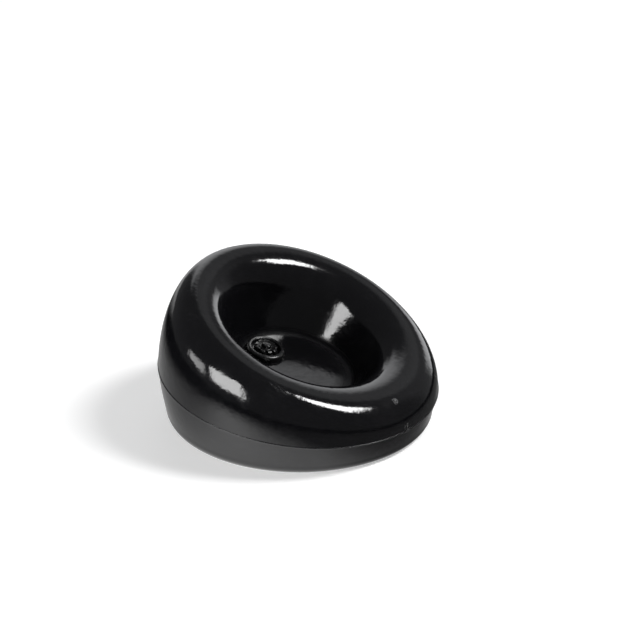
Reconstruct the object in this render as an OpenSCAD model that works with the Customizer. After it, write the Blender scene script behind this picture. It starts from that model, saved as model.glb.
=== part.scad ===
// Hollow rubber friction ball for turning screw-down watch case backs, lying with its air let out.
// The top of the ball is pushed in. It makes a deep cup with a flat floor inside a fat rolled rim, and
// the rim stands higher on one side than on the other.
// Origin: centre of the flat base. +Z is up and +X points to the low side of the rim.
// The whole object is symmetric about the XZ plane.

/* [Skin] */
// Width across the seam, which is the widest part
seam_d = 65; // [64.4:0.2:66]
// Width of the base, outside its rounded edge
base_d = 62; // [60:0.5:63]
// Radius of the rounded edge of the base
base_edge_r = 2.6; // [2.2:0.1:4]
// Height of the seam above the base, measured along the leaning centre line
seam_h = 10; // [9:0.5:11]
// Thickness of the rubber skin
wall_t = 1.8; // [1.4:0.1:2]

/* [Rim] */
// Width across the crest of the rim
crest_d = 52.2; // [51:0.2:54.6]
// Height of the crest, measured along the leaning centre line
crest_h = 24.5; // [24:0.5:26]
// Angle between the plane of the rim and the base
rim_tilt = 22.4; // [20:0.2:23]
// How late the tilt comes in up the side: 1 is evenly, more is nearer the crest
tilt_power = 1.34; // [1.2:0.02:1.6]
// Sideways lean of the centre line towards the high side, per millimetre of height
lean = 0.085; // [0.05:0.005:0.12]
// Squareness of the outside of the rim: 2 is an ellipse
outer_power = 2.4; // [2.2:0.05:3]
// Squareness of the roll from the crest into the cup: 2 is an ellipse
roll_power = 2.4; // [2:0.1:2.6]

/* [Cup] */
// Width of the cup where the roll ends
neck_d = 38.6; // [36:0.2:40]
// Drop from the crest to the end of the roll
lip_drop = 4.8; // [4:0.2:7]
// Width of the flat floor of the cup, outside its corner
floor_d = 27.6; // [27.2:0.2:29]
// Angle between the floor of the cup and the base
floor_tilt = 15; // [13:0.5:17]
// Sideways shift of the floor off the cup's axis, towards the low side
floor_shift = 2; // [1.6:0.1:2.4]
// Depth of the middle of the floor below the crest, along the axis of the cup
cup_depth = 13; // [12.6:0.1:14]
// Radius of the corner between the wall and the floor of the cup
corner_r = 0.6; // [0.4:0.1:0.7]

/* [Seam] */
// Thickness of the cement between the two halves
cement_t = 0.3; // [0.2:0.05:0.5]
// How far the cement stands out of the seam as a fine flash
flash = 0.12; // [0.05:0.01:0.2]
// Width of the cement squeezed out inside the seam
squeeze = 0.5; // [0.3:0.1:0.8]

/* [Valve] */
// Distance of the valve from the middle of the floor, towards the high side
valve_offset = 8.4; // [7.6:0.1:8.5]
// Width of the raised valve boss
boss_d = 9.2; // [9:0.1:9.4]
// Height of the boss above the floor
boss_h = 1.4; // [1.3:0.1:2]
// Radius of the rounded top edge of the boss
boss_edge_r = 0.7; // [0.6:0.1:0.8]
// Width of the recess that takes the stopper's head
recess_d = 6.6; // [6.4:0.1:6.8]
// Depth of that recess
recess_depth = 1.1; // [0.9:0.1:1.2]
// Width of the valve's neck, where it passes through the skin
valve_neck_d = 6; // [5.6:0.1:6.4]
// Width of the flange under the skin
flange_d = 9.4; // [8.6:0.2:10]
// Thickness of that flange
flange_t = 1.1; // [0.8:0.1:1.4]
// Width of the valve's stem
stem_d = 5.2; // [5:0.1:5.6]
// How far the stem's end lies below the top of the floor
stem_reach = 5; // [4.8:0.1:5.4]
// Width of the air bore
bore_d = 3; // [2.6:0.1:3.2]

/* [Stopper and flap] */
// Radial clearance of the stopper's shank in the air bore
shank_clearance = 0.05; // [0.03:0.01:0.08]
// Length of the shank below the stopper's head
shank_l = 4; // [3:0.1:4.2]
// Width of the stopper's head
head_d = 5.6; // [5.2:0.1:5.8]
// Thickness of the stopper's head
head_t = 1.5; // [1.3:0.1:1.8]
// Number of grip notches round the head
notch_n = 9; // [7:1:11]
// Width of each grip notch
notch_w = 0.5; // [0.4:0.05:0.6]
// Thickness of the flap that shuts the inner end of the bore
flap_t = 0.5; // [0.4:0.05:0.7]
// Gap between the shut flap and the end of the stem
flap_gap = 0.05; // [0.03:0.01:0.1]

/* [Hidden] */

seam_r = seam_d / 2;
base_r = base_d / 2;
crest_r = crest_d / 2;
neck_r = neck_d / 2;
floor_r = floor_d / 2;
bore_r = bore_d / 2;
stem_r = stem_d / 2;

// Steps round the shells, and along each stretch of their profile
around = 60;
edge_steps = 5;
flank_steps = 4;
rim_steps = 12;
roll_steps = 8;
wall_steps = 4;
corner_steps = 2;
// Steps used to add up the leaning centre line
line_steps = 24;
// How much of the profile past the seam each half keeps before it is cut, in steps
past_seam = 2;
// The base is drawn this much too deep, then cut flat
base_extra = 0.5;
// A block larger than the whole object, used to cut it
block = 200;
// Inner radius and depth of the ring-shaped cut under the seam, which clears the cup inside it
cut_r = 26;
cut_depth = 12;
// Shape of the flank below the seam
flank_bow = 0.6;
flank_mid = 0.55;
// Depth below the crest at which the cup starts to narrow towards its floor, and how it narrows
narrow_start = 1.5;
narrow_power = 1.2;

RUBBER = [0.045, 0.045, 0.05];
CEMENT = [0.08, 0.08, 0.085];
VALVE = [0.06, 0.06, 0.065];

// The centre line leans and curves, and every ring of the outside lies square to its own tilt.
function tilt_at(h) = rim_tilt * pow(min(h / crest_h, 1), tilt_power);
function total(v, i = 0) = i < len(v) ? v[i] + total(v, i + 1) : 0;
function mid_h(h, i) = h * (i + 0.5) / line_steps;
function line_x(h) =
    total([for (i = [0:line_steps - 1]) sin(tilt_at(mid_h(h, i)))]) * h / line_steps - lean * h;
function line_z(h) =
    total([for (i = [0:line_steps - 1]) cos(tilt_at(mid_h(h, i)))]) * h / line_steps;

// A point of the ring of radius r, centred at [x, 0, z] and tilted about Y.
function ring_point(r, x, z, tilt, a) =
    [x + r * cos(a) * cos(tilt), r * sin(a), z - r * cos(a) * sin(tilt)];
function ring(r, x, z, tilt) =
    [for (j = [0:around - 1]) ring_point(r, x, z, tilt, j * 360 / around)];
function outside_ring(p) = ring(p[0], line_x(p[1]), line_z(p[1]), tilt_at(p[1]));

// The rings of the cup lie round one straight axis, which starts at the crest's centre. Going down, they
// get smaller, shift towards the low side and turn from the tilt of the rim to that of the floor. The
// second number of p is the depth.
crest_x = line_x(crest_h);
crest_z = line_z(crest_h);
function narrowing(d) = pow(max(d - narrow_start, 0) / (cup_depth - narrow_start), narrow_power);
function cup_x(d) = crest_x - d * sin(rim_tilt) + floor_shift * narrowing(d) * cos(rim_tilt);
function cup_z(d) = crest_z - d * cos(rim_tilt) - floor_shift * narrowing(d) * sin(rim_tilt);
function cup_ring(p) =
    let (n = narrowing(p[1]))
    ring(p[0] - (neck_r - floor_r) * n, cup_x(p[1]), cup_z(p[1]), rim_tilt - (rim_tilt - floor_tilt) * n);

// Profile points as [radius, height], from the base up to the crest.
base_points = [[base_r - 3 * base_edge_r, 0]];
edge_points = [for (i = [0:edge_steps])
    let (a = 90 * i / edge_steps)
    [base_r - base_edge_r * (1 - sin(a)), base_edge_r * (1 - cos(a))]];
flank_points = [for (i = [1:flank_steps])
    let (t = i / flank_steps, u = 1 - t,
         bow_r = base_r + (seam_r - base_r) * flank_bow,
         bow_h = base_edge_r + (seam_h - base_edge_r) * flank_mid)
    [u * u * base_r + 2 * u * t * bow_r + t * t * seam_r,
     u * u * base_edge_r + 2 * u * t * bow_h + t * t * seam_h]];
rim_points = [for (i = [1:rim_steps])
    let (a = 90 * i / rim_steps)
    [crest_r + (seam_r - crest_r) * pow(cos(a), 2 / outer_power),
     seam_h + (crest_h - seam_h) * pow(sin(a), 2 / outer_power)]];
outside_points = concat(base_points, edge_points, flank_points, rim_points);
seam_i = len(base_points) + len(edge_points) + len(flank_points) - 1;

// Profile points as [radius before narrowing, depth below the crest], down to the cup's flat floor.
roll_points = [for (i = [1:roll_steps])
    let (a = 90 * i / roll_steps)
    [crest_r - (crest_r - neck_r) * pow(sin(a), 2 / roll_power),
     lip_drop * (1 - pow(cos(a), 2 / roll_power))]];
wall_points = [for (i = [1:wall_steps])
    [neck_r, lip_drop + (cup_depth - corner_r - lip_drop) * i / wall_steps]];
corner_points = [for (i = [1:corner_steps])
    let (a = 90 * i / corner_steps)
    [neck_r - corner_r * (1 - cos(a)), cup_depth - corner_r * (1 - sin(a))]];
floor_points = [[neck_r - 3 * corner_r, cup_depth]];

rings = concat(
    [for (p = outside_points) outside_ring(p)],
    [for (p = concat(roll_points, wall_points, corner_points, floor_points)) cup_ring(p)]
);
last = len(rings) - 1;

// The inside of the skin lies one wall thickness in from the outside, square to it.
function unit(v) = v / norm(v);
function skin_normal(i, j) =
    unit(cross(
        rings[i][(j + 1) % around] - rings[i][(j + around - 1) % around],
        rings[min(i + 1, last)][j] - rings[max(i - 1, 0)][j]
    ));
function inside_ring(i) = [for (j = [0:around - 1]) rings[i][j] - wall_t * skin_normal(i, j)];
function sunk(ring_in) = [for (p = ring_in) [p[0], p[1], -base_extra]];

// A closed solid through a list of rings, with a flat cap on the first and the last.
module loft(loops) {
    n = len(loops[0]);
    points = [for (loop = loops) for (p = loop) p];
    sides = [for (i = [0:len(loops) - 2]) for (j = [0:n - 1])
        let (a = i * n + j, b = i * n + (j + 1) % n)
        each [[a, a + n, b + n], [a, b + n, b]]];
    caps = [[for (j = [0:n - 1]) j], [for (j = [0:n - 1]) len(points) - 1 - j]];
    polyhedron(points, concat(sides, caps), convexity = 6);
}

// Places its children with +Z along the axis of the ring at height h up the outside.
module at_line(h) {
    translate([line_x(h), 0, line_z(h)]) rotate([0, tilt_at(h), 0]) children();
}

// Places its children on the cup's floor, with +Z square to the floor.
module at_valve() {
    translate([cup_x(cup_depth), 0, cup_z(cup_depth)]) rotate([0, floor_tilt, 0])
        translate([-valve_offset, 0, 0]) children();
}

// The tub: flat base, rounded edge and flank, up to the seam.
module lower_shell() {
    top_i = seam_i + past_seam;
    color(RUBBER)
    difference() {
        loft(concat(
            [sunk(rings[1]), rings[2]],
            [for (i = [3:top_i]) rings[i]],
            [for (i = [top_i:-1:1]) inside_ring(i)]
        ));
        translate([-block / 2, -block / 2, -block]) cube(block);
        at_line(seam_h) translate([-block / 2, -block / 2, -cement_t / 2]) cube(block);
    }
}

// The top: from the seam over the rolled rim, down the cup's wall and across its floor.
module upper_shell() {
    first_i = seam_i - past_seam;
    color(RUBBER)
    difference() {
        loft(concat(
            [for (i = [last:-1:first_i]) inside_ring(i)],
            [for (i = [first_i:last]) rings[i]]
        ));
        at_line(seam_h) translate([0, 0, cement_t / 2 - cut_depth])
            difference() {
                cylinder(r = block / 4, h = cut_depth, $fn = 64);
                translate([0, 0, -1]) cylinder(r = cut_r, h = cut_depth + 2, $fn = 64);
            }
        at_valve() translate([0, 0, -2 * wall_t]) cylinder(d = valve_neck_d, h = 4 * wall_t, $fn = 64);
    }
}

// The bead of cement that joins the halves. Its outer edge is the fine flash round the seam.
module seam_cement() {
    color(CEMENT)
    at_line(seam_h) translate([0, 0, -cement_t / 2])
    difference() {
        cylinder(r = seam_r + flash, h = cement_t, $fn = 180);
        translate([0, 0, -cement_t])
            cylinder(r = seam_r - wall_t - squeeze, h = 3 * cement_t, $fn = 180);
    }
}

// Half outline of the valve, as [radius, height above the floor].
function boss_edge() = [for (a = [0:15:90])
    [boss_d / 2 - boss_edge_r * (1 - cos(a)), boss_h - boss_edge_r * (1 - sin(a))]];
function lip_edge() = [for (a = [0:30:90])
    [recess_d / 2 + boss_edge_r / 2 * (1 - sin(a)), boss_h - boss_edge_r / 2 * (1 - cos(a))]];

// The valve: a raised boss in the cup, a neck through the skin, a flange under it and a stem.
module valve_body() {
    color(VALVE)
    at_valve()
    difference() {
        rotate_extrude($fn = 96) polygon(concat(
            [[0, -stem_reach], [stem_r, -stem_reach], [stem_r, -wall_t - flange_t]],
            [[flange_d / 2, -wall_t - flange_t], [flange_d / 2, -wall_t]],
            [[valve_neck_d / 2, -wall_t], [valve_neck_d / 2, 0], [boss_d / 2, 0]],
            boss_edge(),
            lip_edge(),
            [[recess_d / 2, boss_h - recess_depth], [0, boss_h - recess_depth]]
        ));
        translate([0, 0, -2 * stem_reach])
            cylinder(r = bore_r, h = 2 * stem_reach + 2 * boss_h, $fn = 64);
    }
}

// The stopper: a shank that shuts the bore, and a notched head with a low button to pull it by.
module valve_plug() {
    head_r = head_d / 2;
    button_r = head_r * 0.36;
    shank_r = bore_r - shank_clearance;
    color(VALVE)
    at_valve() translate([0, 0, boss_h - recess_depth])
    difference() {
        rotate_extrude($fn = 72) polygon(concat(
            [[0, -shank_l], [shank_r * 0.7, -shank_l], [shank_r, -shank_l + shank_r * 0.6], [shank_r, 0]],
            [[head_r, 0]],
            [for (a = [0:30:90]) [head_r - 0.5 * (1 - cos(a)), head_t - 0.5 * (1 - sin(a))]],
            [[head_r * 0.62, head_t - 0.35], [button_r + 0.3, head_t - 0.35]],
            [for (a = [0:30:90]) [button_r - 0.3 * (1 - cos(a)), head_t + 0.1 + 0.3 * sin(a)]],
            [[0, head_t + 0.4]]
        ));
        for (k = [0:notch_n - 1])
            rotate([0, 0, (k + 0.5) * 360 / notch_n])
                translate([head_r * 0.78, -notch_w / 2, head_t / 2]) cube([head_r, notch_w, head_t]);
    }
}

// The flap: a thin disc that shuts the inner end of the bore, hung from a tab at its outer side.
module valve_flap() {
    tab_w = stem_r;
    color(VALVE)
    at_valve() translate([0, 0, -stem_reach - flap_gap - flap_t])
    union() {
        cylinder(r = stem_r - 0.2, h = flap_t, $fn = 64);
        translate([-stem_r - 0.3, -tab_w / 2, 0]) cube([stem_r, tab_w, flap_t]);
    }
}

lower_shell();
upper_shell();
seam_cement();
valve_body();
valve_plug();
valve_flap();
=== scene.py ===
"""Hollow rubber friction ball for turning watch case backs, lying with its air let out."""

import math

import bmesh
import bpy
import numpy as np
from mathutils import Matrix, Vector, noise


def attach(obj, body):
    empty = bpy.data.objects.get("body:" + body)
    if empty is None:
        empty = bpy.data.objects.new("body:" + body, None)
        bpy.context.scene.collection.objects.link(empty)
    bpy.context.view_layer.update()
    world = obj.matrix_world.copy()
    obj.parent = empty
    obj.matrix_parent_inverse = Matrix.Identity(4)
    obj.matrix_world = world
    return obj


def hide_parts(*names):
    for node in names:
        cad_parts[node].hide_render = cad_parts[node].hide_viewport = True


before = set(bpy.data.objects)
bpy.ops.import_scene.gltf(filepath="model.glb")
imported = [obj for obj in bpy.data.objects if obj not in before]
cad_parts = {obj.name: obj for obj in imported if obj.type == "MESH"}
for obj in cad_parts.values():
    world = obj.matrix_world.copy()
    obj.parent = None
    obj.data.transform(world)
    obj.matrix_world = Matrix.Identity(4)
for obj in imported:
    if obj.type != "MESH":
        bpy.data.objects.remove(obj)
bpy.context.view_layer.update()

MM = 0.001

# Skin: the same driving sizes as the CAD.
SEAM_R = 32.5 * MM
BASE_R = 31 * MM
BASE_EDGE_R = 2.6 * MM
SEAM_H = 10 * MM
WALL_T = 1.8 * MM
CREST_R = 26.1 * MM
CREST_H = 24.5 * MM
TILT = math.radians(22.4)
TILT_POWER = 1.34
LEAN = 0.085
OUTER_POWER = 2.4
ROLL_POWER = 2.4
NECK_R = 19.3 * MM
LIP_DROP = 4.8 * MM
FLOOR_R = 13.8 * MM
FLOOR_TILT = math.radians(15)
FLOOR_SHIFT = 2 * MM
CUP_DEPTH = 13 * MM
CORNER_R = 0.6 * MM
NARROW_START = 1.5 * MM
NARROW_POWER = 1.2
CEMENT_T = 0.3 * MM
FLASH = 0.12 * MM
SQUEEZE = 0.5 * MM

# The flank bows out on its way up: where the bow's control point lies, from base to seam.
BOW_OUT = 0.6
BOW_UP = 0.55

# Valve, stopper and flap.
VALVE_OFFSET = 8.4 * MM
BOSS_R = 4.6 * MM
BOSS_H = 1.4 * MM
BOSS_EDGE_R = 0.7 * MM
RECESS_R = 3.3 * MM
RECESS_DEPTH = 1.1 * MM
NECK_HOLE_R = 3 * MM
FLANGE_R = 4.7 * MM
FLANGE_T = 1.1 * MM
STEM_R = 2.6 * MM
STEM_REACH = 5 * MM
BORE_R = 1.5 * MM
SHANK_R = 1.45 * MM
SHANK_L = 4 * MM
SHANK_TAPER_L = 0.8 * MM
HEAD_R = 2.8 * MM
HEAD_T = 1.5 * MM
NOTCHES = 9
NOTCH_W = 0.5 * MM
NOTCH_SIDE = 0.15 * MM
FLAP_T = 0.5 * MM
FLAP_GAP = 0.05 * MM
FLAP_TAB_R = 0.3 * MM
FLAP_BEVEL = 0.1 * MM

# Handling marks. The skin sags unevenly, and the cement's flash is torn at one place (in degrees).
SAG_DEPTH = 0.05 * MM
SAG_SCALE = 14 * MM
SAG_SEED = 3
FLASH_UNEVEN = 0.05 * MM
FLASH_RIPPLES = 40
TORN_AT = -11
TORN_WIDTH = 2.2
TORN_DEPTH = 0.16 * MM
# Small damaged places on the skin: (x, y, z, radius) in millimetres. One is a nick at the seam.
NICKS = [(31.3, -6.4, 7.0, 1.5), (28.2, -6.3, 12.8, 0.9)]

# Points round each loop, and loops along each stretch of the skin.
AROUND = 256
SEAM_AROUND = 720
VALVE_AROUND = 160
NOTCH_AROUND = 32
BASE_LOOPS = 9
BASE_EDGE_LOOPS = 12
FLANK_LOOPS = 18
RIM_LOOPS = 64
ROLL_LOOPS = 36
WALL_LOOPS = 24
CORNER_LOOPS = 6
FLOOR_LOOPS = 14
# Painted shade lies in the cup's corner and fades out over this many loops on both sides.
SHADE_LOOPS = 5
# Edges sharper than this are shaded as edges.
EDGE_ANGLE = math.radians(38)


# ---------------------------------------------------------------- shape of the skin

def tilt_at(h):
    return TILT * min(h / CREST_H, 1) ** TILT_POWER


def line(h, steps=24):
    """Centre of the ring at height h along the leaning centre line."""
    tilts = [tilt_at(h * (i + 0.5) / steps) for i in range(steps)]
    return (
        sum(math.sin(t) for t in tilts) * h / steps - LEAN * h,
        sum(math.cos(t) for t in tilts) * h / steps,
    )


def turns(n):
    """Angles of n points spread evenly round a circle."""
    return np.arange(n) * 2 * math.pi / n


def ring(r, x, z, tilt):
    """A tilted circle round the point (x, 0, z)."""
    a = turns(AROUND)
    along = r * np.cos(a)
    return np.stack([x + along * math.cos(tilt), r * np.sin(a), z - along * math.sin(tilt)], 1)


def outside_ring(r, h):
    x, z = line(h)
    return ring(r, x, z, tilt_at(h))


def upright(tilt):
    return np.array([math.sin(tilt), 0, math.cos(tilt)])


def downhill(tilt):
    return np.array([math.cos(tilt), 0, -math.sin(tilt)])


CREST_X, CREST_Z = line(CREST_H)
CREST_C = np.array([CREST_X, 0, CREST_Z])
FLOOR_C = CREST_C - CUP_DEPTH * upright(TILT) + FLOOR_SHIFT * downhill(TILT)
FLOOR_UP = upright(FLOOR_TILT)
ACROSS = downhill(FLOOR_TILT)
SIDE = np.array([0, 1, 0])
VALVE_C = FLOOR_C - VALVE_OFFSET * ACROSS


def cup_ring(r, depth):
    """A ring of the cup. Deeper ones are smaller, nearer the low side and tilted more like the floor."""
    n = (max(depth - NARROW_START, 0) / (CUP_DEPTH - NARROW_START)) ** NARROW_POWER
    x, _, z = CREST_C - depth * upright(TILT) + n * FLOOR_SHIFT * downhill(TILT)
    return ring(r - (NECK_R - FLOOR_R) * n, x, z, TILT - (TILT - FLOOR_TILT) * n)


def quarter(steps, start=0):
    """Angles from start steps up to a right angle."""
    return [math.pi / 2 * i / steps for i in range(start, steps + 1)]


def lower_outside():
    """Rings of the tub from the flat base to the seam."""
    flat_r = BASE_R - BASE_EDGE_R
    rings = [outside_ring(r, 0) for r in np.linspace(1 * MM, flat_r, BASE_LOOPS)]
    for a in quarter(BASE_EDGE_LOOPS, 1):
        rings.append(outside_ring(flat_r + BASE_EDGE_R * math.sin(a), BASE_EDGE_R * (1 - math.cos(a))))
    bow_r = BASE_R + (SEAM_R - BASE_R) * BOW_OUT
    bow_h = BASE_EDGE_R + (SEAM_H - BASE_EDGE_R) * BOW_UP
    for t in np.linspace(0, 1, FLANK_LOOPS + 1)[1:]:
        u = 1 - t
        r = u * u * BASE_R + 2 * u * t * bow_r + t * t * SEAM_R
        h = u * u * BASE_EDGE_R + 2 * u * t * bow_h + t * t * SEAM_H
        rings.append(outside_ring(r, min(h, SEAM_H - CEMENT_T / 2)))
    return rings


def upper_outside():
    """Rings of the top from the seam over the rim and down the cup to its floor."""
    rings = [outside_ring(SEAM_R, SEAM_H + CEMENT_T / 2)]
    clear_of_seam = SEAM_H + 0.8 * CEMENT_T
    for a in quarter(RIM_LOOPS, 1):
        r = CREST_R + (SEAM_R - CREST_R) * math.cos(a) ** (2 / OUTER_POWER)
        h = SEAM_H + (CREST_H - SEAM_H) * math.sin(a) ** (2 / OUTER_POWER)
        if h > clear_of_seam:
            rings.append(outside_ring(r, h))
    for a in quarter(ROLL_LOOPS, 1):
        r = CREST_R - (CREST_R - NECK_R) * math.sin(a) ** (2 / ROLL_POWER)
        rings.append(cup_ring(r, LIP_DROP * (1 - max(math.cos(a), 0) ** (2 / ROLL_POWER))))
    for depth in np.linspace(LIP_DROP, CUP_DEPTH - CORNER_R, WALL_LOOPS + 1)[1:]:
        rings.append(cup_ring(NECK_R, depth))
    for a in quarter(CORNER_LOOPS, 1):
        inset, above = CORNER_R * (1 - math.cos(a)), CORNER_R * (1 - math.sin(a))
        rings.append(cup_ring(NECK_R - inset, CUP_DEPTH - above))
    return rings


def skin_normals(rings):
    g = np.array(rings)
    round_way = np.roll(g, -1, 1) - np.roll(g, 1, 1)
    n = np.cross(round_way, np.gradient(g, axis=0))
    return n / np.linalg.norm(n, axis=-1, keepdims=True)


def soft_noise(p):
    """Smooth noise from 0 to 1."""
    return 0.5 + 0.5 * noise.noise(p)


def sag(points, normals):
    """Pushes the skin in by a soft, uneven amount, as moulded rubber that has been handled."""
    out = points.copy()
    shift = Vector((1, 1.7, 0.3)) * SAG_SEED
    for i in range(points.shape[0]):
        for j in range(points.shape[1]):
            out[i, j] -= normals[i, j] * SAG_DEPTH * soft_noise(Vector(points[i, j]) / SAG_SCALE + shift)
    return out


# ---------------------------------------------------------------- meshes

def add_object(name, data):
    obj = bpy.data.objects.new(name, data)
    bpy.context.scene.collection.objects.link(obj)
    return obj


def grid_mesh(name, rows, closed=False, poles=False):
    """A mesh through rows of points. Each row is a loop. The rows close on each other, or end in poles."""
    rows = np.asarray(rows)
    count, n = rows.shape[:2]
    verts = [tuple(p) for p in rows.reshape(-1, 3)]
    faces = []
    for i in range(count if closed else count - 1):
        for j in range(n):
            a, b = i * n + j, i * n + (j + 1) % n
            c, d = (i + 1) % count * n + (j + 1) % n, (i + 1) % count * n + j
            faces.append((a, b, c, d))
    if poles:
        for row, flip in ((0, True), (count - 1, False)):
            verts.append(tuple(rows[row].mean(0)))
            for j in range(n):
                tri = (row * n + j, row * n + (j + 1) % n, len(verts) - 1)
                faces.append(tri[::-1] if flip else tri)
    mesh = bpy.data.meshes.new(name)
    mesh.from_pydata(verts, [], faces)
    bm = bmesh.new()
    bm.from_mesh(mesh)
    bmesh.ops.recalc_face_normals(bm, faces=bm.faces)
    bm.to_mesh(mesh)
    bm.free()
    mesh.shade_smooth()
    mesh.set_sharp_from_angle(angle=EDGE_ANGLE)
    return add_object(name, mesh)


def fillet(outline, steps=5):
    """A closed outline of (x, z, corner radius) as plain points with its corners rounded."""
    points = []
    for i, (x, z, r) in enumerate(outline):
        p = np.array([x, z])
        if r == 0:
            points.append(p)
            continue
        before = np.array(outline[i - 1][:2]) - p
        after = np.array(outline[(i + 1) % len(outline)][:2]) - p
        before /= np.linalg.norm(before)
        after /= np.linalg.norm(after)
        half = math.acos(np.clip(before @ after, -1, 1)) / 2
        sweep = math.pi - 2 * half
        reach = r / math.tan(half)
        middle = before + after
        centre = p + middle / np.linalg.norm(middle) * r / math.sin(half)
        start, end = p + before * reach - centre, p + after * reach - centre
        for t in np.linspace(0, 1, steps + 1):
            v = start * math.sin((1 - t) * sweep) + end * math.sin(t * sweep)
            points.append(centre + v / np.linalg.norm(v) * r)
    return points


def at_valve(points):
    """From the valve's own axes to the frame's."""
    p = np.asarray(points)
    return VALVE_C + p[..., :1] * ACROSS + p[..., 1:2] * SIDE + p[..., 2:] * FLOOR_UP


def turned(outline, n):
    """Rows of a turned shape, one row for each point of its outline."""
    a = turns(n)
    return np.array([np.stack([r * np.cos(a), r * np.sin(a), np.full(n, z)], 1) for r, z in outline])


def make_lower_skin():
    """The tub. Its flat base does not sag, because it rests on the table."""
    outside = np.array(lower_outside())
    normals = skin_normals(outside)
    outer = outside.copy()
    outer[BASE_LOOPS:] = sag(outside[BASE_LOOPS:], normals[BASE_LOOPS:])
    inner = outside - WALL_T * normals
    return grid_mesh("lower_skin", np.concatenate([outer, inner[::-1]]), poles=True)


def make_upper_skin():
    """Rim, cup and floor. The floor's loops move from the corner of the cup to the hole for the valve."""
    outside = np.array(upper_outside())
    normals = skin_normals(outside)
    outer = sag(outside, normals)
    inner = outside - WALL_T * normals
    outer_floor, inner_floor = [], []
    edge_r = FLOOR_R - CORNER_R
    a = turns(AROUND)
    circle = np.outer(np.cos(a), ACROSS) + np.outer(np.sin(a), SIDE)
    for t in np.linspace(0, 1, FLOOR_LOOPS + 1)[1:]:
        centre = FLOOR_C + (VALVE_C - FLOOR_C) * t
        loop = centre + circle * (edge_r + (NECK_HOLE_R - edge_r) * t)
        outer_floor.append(loop)
        inner_floor.append(loop - WALL_T * FLOOR_UP)
    rows = np.concatenate([outer, outer_floor, inner_floor[::-1], inner[::-1]])
    skin = grid_mesh("upper_skin", rows, closed=True)
    # Painted shade along the cup's corner: a mask, strongest at the corner, that the rubber turns into a
    # dull, dark crease.
    corner_middle = len(outer) - 1 - CORNER_LOOPS / 2
    from_corner = np.abs(np.arange(len(rows)) - corner_middle)
    corner_shade = np.repeat(np.clip((SHADE_LOOPS + 1 - from_corner) / SHADE_LOOPS, 0, 1), AROUND)
    skin.data.attributes.new("corner_shade", "FLOAT", "POINT").data.foreach_set("value", corner_shade)
    return skin


def flash_loss(a):
    """How far the flash is worn back at the angle a: a little everywhere, more at the torn place."""
    place = Vector((math.cos(a), math.sin(a), 0)) * FLASH_RIPPLES
    from_torn = (math.degrees(a) - TORN_AT + 180) % 360 - 180
    torn = math.exp(-((from_torn / TORN_WIDTH) ** 2))
    return FLASH_UNEVEN * soft_noise(place) + TORN_DEPTH * torn * (0.6 + 0.8 * noise.noise(place * 4))


def make_seam_flash():
    """The cement bead. Its outer edge is a fine, uneven flash with one torn place."""
    x, z = line(SEAM_H)
    tilt = tilt_at(SEAM_H)
    inner_r, outer_r = SEAM_R - WALL_T - SQUEEZE, SEAM_R + FLASH
    outline = fillet([
        (inner_r, -CEMENT_T / 2, 0.05 * MM),
        (outer_r, -CEMENT_T / 2, 0.1 * MM),
        (outer_r, CEMENT_T / 2, 0.1 * MM),
        (inner_r, CEMENT_T / 2, 0.05 * MM),
    ])
    angles = turns(SEAM_AROUND)
    losses = [flash_loss(a) for a in angles]
    rows = []
    for r, above in outline:
        loop = []
        for a, loss in zip(angles, losses):
            out = r - loss if r > SEAM_R - WALL_T else r
            point = np.array([x, 0, z]) + downhill(tilt) * out * math.cos(a)
            loop.append(point + SIDE * out * math.sin(a) + upright(tilt) * above)
        rows.append(loop)
    return grid_mesh("seam_flash", rows, closed=True)


def make_valve_boss():
    """Stem, flange, neck and boss, turned round the air bore."""
    recess_z = BOSS_H - RECESS_DEPTH
    outline = fillet([
        (BORE_R, -STEM_REACH, 0.15 * MM),
        (STEM_R, -STEM_REACH, 0.2 * MM),
        (STEM_R, -WALL_T - FLANGE_T, 0),
        (FLANGE_R, -WALL_T - FLANGE_T, 0.25 * MM),
        (FLANGE_R, -WALL_T, 0.1 * MM),
        (NECK_HOLE_R, -WALL_T, 0),
        (NECK_HOLE_R, 0, 0),
        (BOSS_R, 0, 0),
        (BOSS_R, BOSS_H, BOSS_EDGE_R),
        (RECESS_R, BOSS_H, 0.4 * MM),
        (RECESS_R, recess_z, 0.15 * MM),
        (BORE_R, recess_z, 0.1 * MM),
    ], steps=8)
    return grid_mesh("valve_boss", at_valve(turned(outline, VALVE_AROUND)), closed=True)


def cut_notches(rows, from_z):
    """Pulls the head's edge in to the bottom of the grip notches, above the height from_z."""
    bottom_r = HEAD_R * 0.78
    step = 2 * math.pi / NOTCHES
    for i, row in enumerate(rows):
        for j, (x, y, z) in enumerate(row):
            r = math.hypot(x, y)
            if z < from_z or r < bottom_r:
                continue
            off = abs((math.atan2(y, x) / step) % 1 - 0.5) * step * r
            side = min(max((off - NOTCH_W / 2) / NOTCH_SIDE, 0), 1)
            rows[i, j, :2] *= (bottom_r + (r - bottom_r) * side) / r


def make_stopper():
    """Shank and head. The head's edge has grip notches, and a low button stands in its middle."""
    seat = BOSS_H - RECESS_DEPTH
    tip = seat - SHANK_L
    top = seat + HEAD_T
    button_r = HEAD_R * 0.36
    outline = fillet([
        (0.4 * MM, tip, 0),
        (SHANK_R * 0.75, tip, 0.15 * MM),
        (SHANK_R, tip + SHANK_TAPER_L, 0.4 * MM),
        (SHANK_R, seat, 0),
        (HEAD_R, seat, 0.1 * MM),
        (HEAD_R, top, 0.5 * MM),
        (HEAD_R * 0.62, top - 0.25 * MM, 0.3 * MM),
        (button_r + 0.3 * MM, top - 0.35 * MM, 0.1 * MM),
        (button_r, top + 0.38 * MM, 0.3 * MM),
        (0.2 * MM, top + 0.4 * MM, 0),
    ], steps=6)
    rows = turned(outline, NOTCHES * NOTCH_AROUND)
    cut_notches(rows, seat + HEAD_T / 2)
    return grid_mesh("stopper", at_valve(rows), poles=True)


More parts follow.
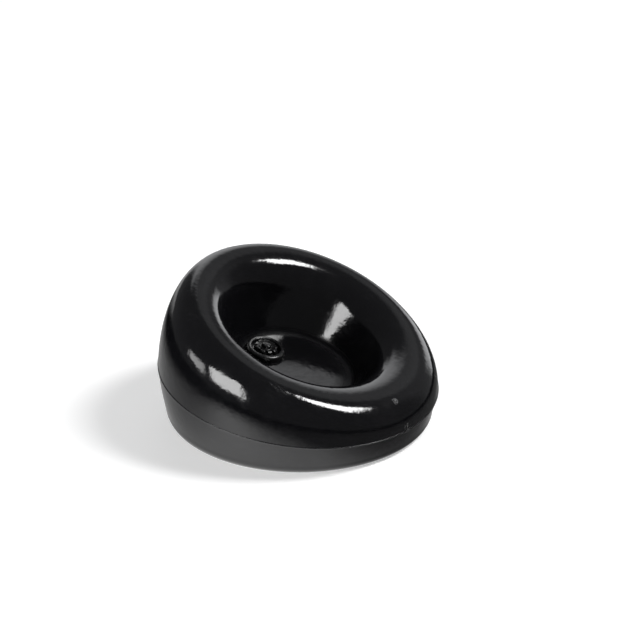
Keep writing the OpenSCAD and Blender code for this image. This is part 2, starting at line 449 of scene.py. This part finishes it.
def make_flap():
    """A thin disc with a square tab at its hinge side."""
    under = -STEM_REACH - FLAP_GAP - FLAP_T
    disc_r, tab_x, tab_y = STEM_R - 0.2 * MM, STEM_R + 0.3 * MM, STEM_R / 2
    edge = math.pi - math.asin(tab_y / disc_r)
    outline = [(disc_r * math.cos(a), disc_r * math.sin(a)) for a in np.linspace(-edge, edge, 60)]
    tab_corner = [
        (-tab_x + FLAP_TAB_R * (1 - math.sin(a)), tab_y - FLAP_TAB_R * (1 - math.cos(a)))
        for a in quarter(4)
    ]
    outline += tab_corner + [(x, -y) for x, y in reversed(tab_corner)]
    outline = np.array(outline)
    middle = outline.mean(0)
    rows = []
    for z, inset in ((0, FLAP_BEVEL), (FLAP_BEVEL, 0), (FLAP_T - FLAP_BEVEL, 0), (FLAP_T, FLAP_BEVEL)):
        flat = middle + (outline - middle) * (1 - inset / disc_r)
        rows.append(np.column_stack([flat, np.full(len(flat), under + z)]))
    return grid_mesh("flap", at_valve(np.array(rows)), poles=True)


# ---------------------------------------------------------------- materials

class Tree:
    """Short calls for building a node tree."""

    def __init__(self, tree):
        self.tree = tree
        tree.nodes.clear()

    def node(self, kind, values=None, **settings):
        made = self.tree.nodes.new("ShaderNode" + kind)
        for key, value in settings.items():
            setattr(made, key, value)
        for key, value in (values or {}).items():
            if isinstance(value, bpy.types.NodeSocket):
                self.tree.links.new(value, made.inputs[key])
            else:
                made.inputs[key].default_value = value
        return made

    def math(self, operation, a, b=0.0):
        return self.node("Math", {0: a, 1: b}, operation=operation).outputs[0]

    def add(self, a, b):
        return self.math("ADD", a, b)

    def times(self, a, b):
        return self.math("MULTIPLY", a, b)

    def ramp(self, value, low, high, to_low=0.0, to_high=1.0):
        """A smooth step from to_low at low to to_high at high."""
        values = {0: value, 1: low, 2: high, 3: to_low, 4: to_high}
        return self.node("MapRange", values, interpolation_type="SMOOTHSTEP").outputs[0]

    def noise(self, place, scale, detail=3.0, rough=0.5):
        values = {"Vector": place, "Scale": scale, "Detail": detail, "Roughness": rough}
        return self.node("TexNoise", values).outputs[0]

    def mix_colour(self, factor, a, b):
        return self.node("Mix", {0: factor, 6: a, 7: b}, data_type="RGBA").outputs[2]

    def bump(self, height, distance, under=None):
        values = {"Strength": 1.0, "Distance": distance, "Height": height}
        if under is not None:
            values["Normal"] = under
        return self.node("Bump", values).outputs[0]

    def glow(self, strength):
        return self.node("Emission", {"Color": (1, 1, 1, 1), "Strength": strength}).outputs[0]

    def mix_shader(self, factor, a, b):
        return self.node("MixShader", {0: factor, 1: a, 2: b}).outputs[0]

    def axes(self, coordinates):
        """The x, y and z of one of the texture coordinates."""
        return self.node("SeparateXYZ", {0: self.node("TexCoord").outputs[coordinates]}).outputs


def new_material(name):
    material = bpy.data.materials.new(name)
    material.use_nodes = True
    return material, Tree(material.node_tree)


def scuffs(t, place):
    """Fine rubbed streaks in cloudy patches."""
    stretched = t.node("Mapping", {"Vector": place, "Scale": (1, 6, 2)}).outputs[0]
    return t.ramp(t.times(t.noise(stretched, 420, 4), t.noise(place, 90, 4)), 0.30, 0.42)


def specks(t, place):
    """Rare, small specks of dust."""
    cells = t.node("TexVoronoi", {"Vector": place, "Scale": 420, "Randomness": 1.0})
    chance = t.node("SeparateColor", {0: cells.outputs["Color"]}).outputs[0]
    return t.times(t.ramp(cells.outputs["Distance"], 0.05, 0.028), t.math("GREATER_THAN", chance, 0.93))


def nicks(t, place):
    """Torn rubber inside the damaged places."""
    nicked = 0.0
    for x, y, z, radius in NICKS:
        centre = (x * MM, y * MM, z * MM)
        away = t.node("VectorMath", {0: place, 1: centre}, operation="DISTANCE").outputs["Value"]
        nicked = t.math("MAXIMUM", nicked, t.ramp(away, radius * MM, radius * 0.3 * MM))
    return t.times(nicked, t.ramp(t.noise(place, 1500, 3), 0.45, 0.62))


def rubber(name, colour, dust, rough, grain, peel):
    """Black rubber with a smooth moulded gloss, faint dust, scuffs, fine grain and a slight orange peel,
    and painted shade that takes the gloss and the reflection off the cup's corner.
    """
    material, t = new_material(name)
    place = t.node("TexCoord").outputs["Object"]
    smudge = t.noise(place, 260, 5, 0.6)
    scuffed, speckled, torn = scuffs(t, place), specks(t, place), nicks(t, place)
    # Painted shade in the cup's corner: the rubber there is made rougher and loses almost all its
    # reflection.
    corner_shade = t.node("Attribute", attribute_name="corner_shade").outputs["Fac"]
    film = t.times(t.ramp(smudge, 0.45, 0.75), 0.35)
    dusty = t.math("MAXIMUM", film, t.times(scuffed, 0.5))
    base = t.mix_colour(dusty, (*colour, 1), (*dust, 1))
    base = t.mix_colour(speckled, base, (0.12, 0.12, 0.12, 1))
    base = t.mix_colour(torn, base, (0.05, 0.05, 0.05, 1))
    gloss = t.ramp(smudge, 0.3, 0.7, *rough)
    for mark, roughness in ((scuffed, 0.06), (speckled, 0.4), (corner_shade, 0.45), (torn, 0.2)):
        gloss = t.add(gloss, t.times(mark, roughness))
    surface = t.bump(t.noise(place, 700, 2), peel * MM)
    surface = t.bump(torn, 0.35 * MM, surface)
    surface = t.bump(t.noise(place, 2600, 3), grain * MM, surface)
    shader = t.node("BsdfPrincipled", {
        "Base Color": base,
        "Roughness": gloss,
        "IOR": 1.5,
        "Specular IOR Level": t.ramp(corner_shade, 0.0, 1.0, 0.5, 0.04),
        "Normal": surface,
    })
    t.node("OutputMaterial", {"Surface": shader.outputs[0]})
    return material


def finish_piece(piece, body, node, material):
    piece.data.materials.append(material)
    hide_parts(node)
    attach(piece, body)


# Colour, dusty colour, roughness from and to, then the grain's and the orange peel's depth in millimetres.
SKIN = rubber(
    "skin_rubber", (0.0035, 0.0035, 0.0042), (0.009, 0.009, 0.010), (0.07, 0.12), 0.006, 0.035
)
CEMENT = rubber(
    "cement_bead", (0.007, 0.007, 0.008), (0.02, 0.02, 0.021), (0.22, 0.35), 0.006, 0.012
)
VALVE = rubber(
    "valve_rubber", (0.004, 0.004, 0.0046), (0.011, 0.011, 0.012), (0.2, 0.32), 0.006, 0.012
)
STOPPER = rubber(
    "stopper_rubber", (0.005, 0.005, 0.0055), (0.014, 0.014, 0.015), (0.16, 0.26), 0.006, 0.008
)
FLAP = rubber(
    "flap_rubber", (0.006, 0.006, 0.0065), (0.012, 0.012, 0.013), (0.3, 0.4), 0.006, 0.008
)

finish_piece(make_lower_skin(), "ball", "lower_shell", SKIN)
finish_piece(make_upper_skin(), "ball", "upper_shell", SKIN)
finish_piece(make_seam_flash(), "ball", "seam_cement", CEMENT)
finish_piece(make_valve_boss(), "ball", "valve_body", VALVE)
finish_piece(make_stopper(), "stopper", "valve_plug", STOPPER)
finish_piece(make_flap(), "flap", "valve_flap", FLAP)


# ---------------------------------------------------------------- floor, light, camera

# White table top: its sides, the radius of its corners, and how far it lies below the base.
TABLE_X = (-260 * MM, 260 * MM)
TABLE_Y = (-160 * MM, 360 * MM)
TABLE_CORNER_R = 60 * MM
TABLE_DROP = 0.03 * MM

# A bright band on the table that only reflections show: its direction, distance and half width.
BAND_TURN = math.radians(38)
BAND_AT = 27.7 * MM
BAND_W = 18 * MM

# Pale patches of the room that reflections show: from and to azimuth (0 towards +Y), from and to
# elevation, softness of the edges, all in degrees, and brightness.
PATCHES = [
    ((-47, -7), (-14, 43), 5, 0.75),
    ((-42, -14), (12, 42), 8, 0.6),
    ((0, 32), (-10, 40), 8, 0.12),
    ((-5, 12), (32, 44), 4, 0.2),
    ((-6, 12), (-4, 17), 4, 1.9),
]
ROOM_LEVEL = 0.1

PANEL_DISTANCE = 1.2

# Camera: where it stands seen from the object, and how far the object sits off the picture's middle.
CAMERA_AZIMUTH = 29.4214
CAMERA_ELEVATION = 26.6254
CAMERA_DISTANCE = 600.7 * MM
CAMERA_LENS = 151.67
TARGET_H = 15 * MM
AIM_RIGHT = 2.37 * MM
AIM_UP = 10.08 * MM


def towards(azimuth, elevation):
    """Direction at an azimuth, 0 towards -Y and 90 towards +X, and an elevation, in degrees."""
    a, e = math.radians(azimuth), math.radians(elevation)
    return np.array([math.sin(a) * math.cos(e), -math.cos(a) * math.cos(e), math.sin(e)])


def flat_mesh(name, corners):
    mesh = bpy.data.meshes.new(name)
    mesh.from_pydata(corners, [], [tuple(range(len(corners)))])
    return mesh


def mirrored_brightness(t):
    """How bright reflections of the table are: the band, a pale left side and a pale back."""
    x, y = t.axes("Object")[:2]
    out = t.math("SQRT", t.add(t.times(x, x), t.times(y, y)))
    across = t.add(t.times(x, math.cos(BAND_TURN)), t.times(y, -math.sin(BAND_TURN)))
    off = t.math("DIVIDE", t.math("SUBTRACT", across, BAND_AT), BAND_W)
    band = t.math("EXPONENT", t.times(t.times(off, off), -1.0))
    band = t.times(band, t.ramp(x, 34 * MM, 20 * MM))
    left = t.ramp(x, 20 * MM, -10 * MM, 0.12, 0.42)
    near = t.times(t.add(t.times(band, 1.35), left), t.ramp(out, 105 * MM, 58 * MM))
    back = t.times(t.ramp(y, 30 * MM, 90 * MM), t.ramp(x, 10 * MM, -30 * MM, 0, 0.6))
    return t.math("MAXIMUM", near, back)


def make_floor():
    """White table top with round corners. Reflections see it with a brightness of its own."""
    left, right = TABLE_X[0] + TABLE_CORNER_R, TABLE_X[1] - TABLE_CORNER_R
    front, back = TABLE_Y[0] + TABLE_CORNER_R, TABLE_Y[1] - TABLE_CORNER_R
    edge = []
    for i, (x, y) in enumerate(((right, back), (left, back), (left, front), (right, front))):
        for a in np.array(quarter(8)) + i * math.pi / 2:
            x_out, y_out = TABLE_CORNER_R * math.cos(a), TABLE_CORNER_R * math.sin(a)
            edge.append((x + x_out, y + y_out, -TABLE_DROP))
    mesh = flat_mesh("floor", edge)
    material, t = new_material("white_table")
    diffuse = t.node("BsdfDiffuse", {"Color": (0.8, 0.8, 0.8, 1)})
    # The table also glows evenly by itself: painted light that lightens the shadows cast on it.
    table = t.node("AddShader", {0: diffuse.outputs[0], 1: t.glow(0.4)}).outputs[0]
    seen = t.node("LightPath").outputs["Is Glossy Ray"]
    surface = t.mix_shader(seen, table, t.glow(mirrored_brightness(t)))
    t.node("OutputMaterial", {"Surface": surface})
    mesh.materials.append(material)
    add_object("floor", mesh)


def make_panel(name, corners, radiance, soft=0.12):
    """A glowing panel with soft edges. Its corners are (azimuth, elevation) seen from the object."""
    mesh = flat_mesh(name, [tuple(towards(*corner) * PANEL_DISTANCE) for corner in corners])
    layer = mesh.uv_layers.new(name="UVMap")
    for loop, uv in zip(layer.data, ((0, 0), (1, 0), (1, 1), (0, 1))):
        loop.uv = uv
    material, t = new_material(name)
    level = radiance
    for value in t.axes("UV")[:2]:
        level = t.times(t.ramp(value, 0.0, soft), level)
        level = t.times(t.ramp(value, 1.0, 1.0 - soft), level)
    t.node("OutputMaterial", {"Surface": t.glow(level)})
    mesh.materials.append(material)
    obj = add_object(name, mesh)
    obj.visible_camera = False


def make_world():
    """Dim room with a pale backdrop behind the object. Behind everything, the camera sees plain white."""
    world = bpy.data.worlds.new("room")
    world.use_nodes = True
    bpy.context.scene.world = world
    t = Tree(world.node_tree)
    way = t.axes("Generated")
    turn = t.math("DEGREES", t.math("ARCTAN2", way[0], way[1]))
    rise = t.math("DEGREES", t.math("ARCSINE", way[2]))

    def window(value, low, high, soft):
        return t.times(t.ramp(value, low - soft, low + soft), t.ramp(value, high + soft, high - soft))

    level = ROOM_LEVEL
    for turn_range, rise_range, soft, gain in PATCHES:
        patch = t.times(window(turn, *turn_range, soft), window(rise, *rise_range, soft))
        level = t.add(level, t.times(patch, gain))
    room = t.node("Background", {"Color": (0.97, 0.98, 1, 1), "Strength": level}).outputs[0]
    white = t.node("Background", {"Color": (1, 1, 1, 1), "Strength": 1.0}).outputs[0]
    seen = t.node("LightPath").outputs["Is Camera Ray"]
    t.node("OutputWorld", {"Surface": t.mix_shader(seen, room, white)})


def make_camera():
    """A long lens looking down at the front. The object sits a little below and left of the middle."""
    a = math.radians(CAMERA_AZIMUTH)
    back = Vector(towards(CAMERA_AZIMUTH, CAMERA_ELEVATION))
    right = Vector((math.cos(a), math.sin(a), 0))
    up = back.cross(right)
    target = Vector((0, 0, TARGET_H))
    aim = target + right * AIM_RIGHT + up * AIM_UP
    data = bpy.data.cameras.new("camera")
    data.sensor_width = 36
    data.lens = CAMERA_LENS
    data.clip_start, data.clip_end = 0.01, 20
    obj = add_object("camera", data)
    obj.location = target + back * CAMERA_DISTANCE
    obj.rotation_mode = "QUATERNION"
    obj.rotation_quaternion = (aim - obj.location).to_track_quat("-Z", "Y")
    bpy.context.scene.camera = obj


# The key light is high on the right. The window's two panes are low on the left.
make_floor()
make_panel("key_softbox", [(108, 40), (140, 41), (144, 63), (106, 62)], 28, soft=0.2)
make_panel("window_near", [(-39, 1), (-4, 4), (-1, 33), (-41, 17)], 12)
make_panel("window_far", [(-68, 2), (-45, 1), (-45, 13), (-66, 8)], 5)
make_world()
make_camera()
bpy.context.scene.view_settings.view_transform = "Standard"
